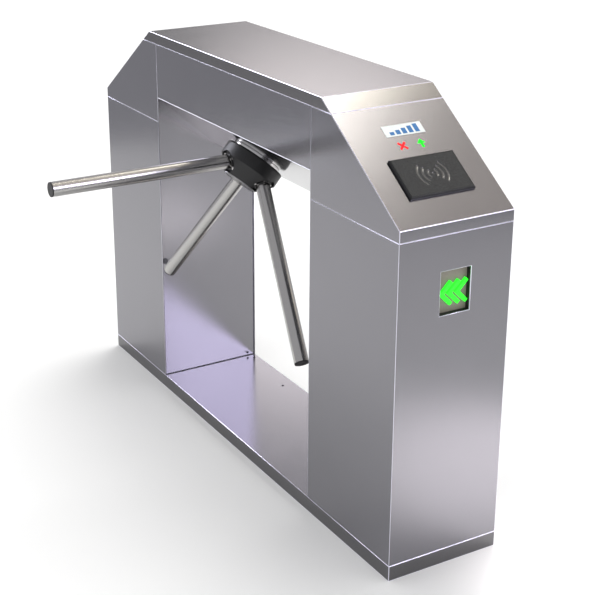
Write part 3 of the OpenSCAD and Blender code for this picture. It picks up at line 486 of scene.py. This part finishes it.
# The socket's rim, its chamfer and its floor, as shares of the socket's radius and the head's height
SOCKET_RINGS = [(0.80, 1), (0.74, 0.97), (0.74, 0.40)]


def head_ring(bm, seat, height, radii):
    """A ring of points round a screw head, with one radius for each of HEAD_TURNS."""
    return [bm.verts.new(seat @ Vector((r * math.cos(t), r * math.sin(t), height)))
            for r, t in zip(radii, HEAD_TURNS)]


def hexagon(flat):
    """The radii of a hexagon that is 2 * flat wide, one for each of HEAD_TURNS."""
    return [flat / math.cos((t + math.pi / 6) % (math.pi / 3) - math.pi / 6) for t in HEAD_TURNS]


def socket_screw(bm, seat):
    """Adds a domed screw head, straight at its rim, with a hexagon socket. It sits on z = 0 of seat."""
    outline = [(HEAD_RADIUS, 0), (HEAD_RADIUS, HEAD_RIM)]
    for k in range(1, DOME_STEPS):
        a = math.radians(90 * k / DOME_STEPS)
        outline.append((SOCKET_RADIUS + (HEAD_RADIUS - SOCKET_RADIUS) * math.cos(a),
                        HEAD_RIM + (1 - HEAD_RIM) * math.sin(a)))
    rings = [head_ring(bm, seat, share * HEAD_HEIGHT, [radius] * HEAD_POINTS)
             for radius, share in outline]
    for flat, share in SOCKET_RINGS:
        rings.append(head_ring(bm, seat, share * HEAD_HEIGHT, hexagon(flat * SOCKET_RADIUS)))
    for low, high in zip(rings, rings[1:]):
        for k in range(HEAD_POINTS):
            after = (k + 1) % HEAD_POINTS
            bm.faces.new((low[k], low[after], high[after], high[k]))
    bm.faces.new(rings[-1])


def fill_arm_screws(bm):
    for turn in ARM_TURNS.values():
        for x in (-SCREW_COLUMN, SCREW_COLUMN):
            for y in (-SCREW_ROW, SCREW_ROW):
                socket_screw(bm, arm_frame(turn) @ Matrix.Translation((x, y, SCREW_SEAT)))


screw_steel = coating("screw_steel", (0.80, 0.79, 0.78), 0.18, 600, 0.03, metallic=1.0)
finish_node("arm_screws", screw_steel, edge=0)
arm_screw_heads = mesh_piece("arm_screw_heads", fill_arm_screws, screw_steel, body="tripod")
for polygon in arm_screw_heads.data.polygons:
    polygon.use_smooth = True
arm_screw_heads.data.set_sharp_from_angle(angle=math.radians(35))
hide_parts("arm_screws")
dark_zinc = coating("dark_zinc", (0.07, 0.07, 0.09), 0.35, 600, 0.03, metallic=1.0)
finish_node("panel_screws", dark_zinc, edge=0)


# ---- Card reader ----
# A black moulded housing with a bevelled rim holds a grained charcoal cover with the contactless
# wave marks sunk into it. The marks' floors are glossy.

SLOPE_FOOT = (0, -0.7, 0.777)
SLOPE_RISE, SLOPE_RUN = 0.203, 0.288
GROOVE_START = 0.0002


def slope_frame(up, out):
    """Frame on the entry slope: +X across, +Y up the slope and +Z out of it. Its origin is up metres
    from the slope's foot, along the slope, and out metres off it."""
    slope = math.atan2(SLOPE_RISE, SLOPE_RUN)
    return (Matrix.Translation(SLOPE_FOOT) @ Matrix.Rotation(slope, 4, "X")
            @ Matrix.Translation((0, up, out)))


def polish_below(material, level, outward):
    """A clear gloss on what lies deeper than level along outward, such as the floor of a groove."""
    tree = material.node_tree
    place = add_node(tree, "ShaderNodeTexCoord").outputs["Object"]
    height = add_node(tree, "ShaderNodeVectorMath", {0: place, 1: outward}, operation="DOT_PRODUCT")
    sunk = add_node(tree, "ShaderNodeMath", {0: height.outputs["Value"], 1: level}, operation="LESS_THAN")
    set_inputs(tree.nodes["Principled BSDF"],
               {"Coat Weight": sunk.outputs[0], "Coat Roughness": 0.16, "Coat IOR": 1.8})


reader_black = coating("reader_black", (0.012, 0.012, 0.013), 0.35, 1200, 0.12)
reader_grain = coating("reader_grain", (0.038, 0.039, 0.041), 0.40, 300, 1.0, mottle=0.8, shine=0.2)
finish_node("reader_housing", reader_black)
finish_node("reader_cover", reader_grain, edge=0, smooth=False)
slope_out = slope_frame(0, 0).to_3x3() @ Vector((0, 0, 1))
cover_face = max(vertex.co.dot(slope_out) for vertex in nodes["reader_cover"].data.vertices)
polish_below(reader_grain, cover_face - GROOVE_START, slope_out)


# ---- Name plate and status lights ----
# A gloss white plate with a printed mark, and two light guides that stand flush in the slope: a red
# cross and a green arrow, lit from a board behind.

BAR_COUNT = 5
BAR_FOOT, BAR_FACE = 0.2283, 0.0009
BAR_SPACING, BAR_WIDTH, BAR_THICKNESS = 0.0155, 0.0105, 0.0003
FIRST_BAR, BAR_STEP = 0.008, 0.0033


def lit(name, colour, strength):
    """Translucent coloured plastic, lit a little unevenly from behind."""
    material, tree, shader = new_material(name)
    place = add_node(tree, "ShaderNodeTexCoord").outputs["Object"]
    cloud = add_node(tree, "ShaderNodeTexNoise", {"Scale": 60, "Vector": place}).outputs["Fac"]
    shade = scaled(tree, colour, around(tree, cloud, 1, 0.1))
    set_inputs(shader, {"Emission Color": shade, "Base Color": shade, "Emission Strength": strength,
                        "Roughness": 0.5, "Specular IOR Level": 0.15})
    return material


def fill_plate_mark(bm):
    """Rising bars, a plain sign for a count."""
    for k in range(BAR_COUNT):
        height = FIRST_BAR + BAR_STEP * k
        block = bmesh.ops.create_cube(bm, size=1)["verts"]
        bmesh.ops.scale(bm, vec=(BAR_WIDTH, height, BAR_THICKNESS), verts=block)
        middle = slope_frame(BAR_FOOT + height / 2, BAR_FACE)
        across = Matrix.Translation((BAR_SPACING * (k - (BAR_COUNT - 1) / 2), 0, 0))
        bmesh.ops.transform(bm, verts=block, matrix=middle @ across)


red_glow = lit("red_glow", (0.85, 0.015, 0.02), 0.8)
green_glow = lit("green_glow", (0.01, 0.85, 0.02), 0.85)
plate_white = coating("plate_white", (0.80, 0.84, 0.84), 0.22, 60, 0.02)
print_blue = coating("print_blue", (0.02, 0.16, 0.42), 0.35, 300, 0.02)
plate_mark = mesh_piece("plate_mark", fill_plate_mark, print_blue, body="cabinet")
finish_node("name_plate", plate_white, edge=0.0002)
finish_node("stop_light", red_glow, edge=0.0002)
finish_node("go_light", green_glow, edge=0.0002)


# ---- Direction indicators ----
# A black box behind each casing window holds a matt warm grey panel with three raised chevrons
# that glow green.

indicator_black = coating("indicator_black", (0.012, 0.012, 0.012), 0.5, 900, 0.1)
indicator_grey = coating("indicator_grey", (0.27, 0.25, 0.21), 0.45, 500, 0.08)
chevron_green = lit("chevron_green", (0.03, 1.0, 0.03), 1.0)
finish_node("indicator_boxes", indicator_black, edge=0.0003)
finish_node("indicator_panels", indicator_grey, edge=0.0002)
finish_node("indicator_chevrons", chevron_green, edge=0.0005)


# ---- Locks ----
# Nickel-plated cam locks hold the service panels on the pedestals' inner faces. Each has a turned
# body and a plug that a key turns.

lock_nickel = metal("lock_nickel", (0.10, 0.10, 0.11), 0.30, (600, 600, 600), grain_depth=0.06)
finish_node("lock_bodies", lock_nickel, edge=0.0004)
finish_node("entry_lock_plug", lock_nickel, edge=0.0002)
finish_node("exit_lock_plug", lock_nickel, edge=0.0002)


# ---- Frames ----
# Angle posts, rails and ribs are welded into the pedestals' frames and the bridge's frame. They
# have a satin grey paint.

frame_paint = coating("frame_paint", (0.16, 0.17, 0.18), 0.42, 250, 0.15)
finish_node("pedestal_frames", frame_paint, edge=0.0005)
finish_node("bridge_frame", frame_paint, edge=0.0005)


# ---- Mechanism and electrics ----
# Zinc-plated plates carry the machined steel parts: shaft, bearings, locking wheel, pawls and cam.
# The boards, the supply and the black solenoids behind them are bought parts in their own finishes.

zinc_plate = metal("zinc_plate", (0.52, 0.53, 0.55), 0.38, (300, 300, 300), grain_depth=0.15)
turned_steel = metal("turned_steel", (0.48, 0.47, 0.46), 0.28, (700, 700, 700))
bearing_steel = metal("bearing_steel", (0.66, 0.66, 0.68), 0.14, (300, 300, 300), grain_depth=0.03)
coil_black = coating("coil_black", (0.03, 0.03, 0.034), 0.38, 300, 0.15)
board_green = coating("board_green", (0.01, 0.07, 0.025), 0.30, 400, 0.05)
supply_case = metal("supply_case", (0.60, 0.60, 0.61), 0.40, (300, 300, 300))
FINISHES = {
    zinc_plate: ["mechanism_plate", "rear_plate", "equipment_plate", "centring_lever"],
    turned_steel: ["bearing_housing", "mechanism_pillars", "shaft", "locking_wheel", "centring_cam",
                   "encoder_disc", "entry_pawl", "exit_pawl", "entry_plunger", "exit_plunger"],
    bearing_steel: ["shaft_bearings", "centring_roller"],
    coil_black: ["lock_solenoids", "position_sensor"],
    board_green: ["light_board", "control_board"],
    supply_case: ["power_supply"],
}
for material, names in FINISHES.items():
    for name in names:
        finish_node(name, material, edge=0.0004)
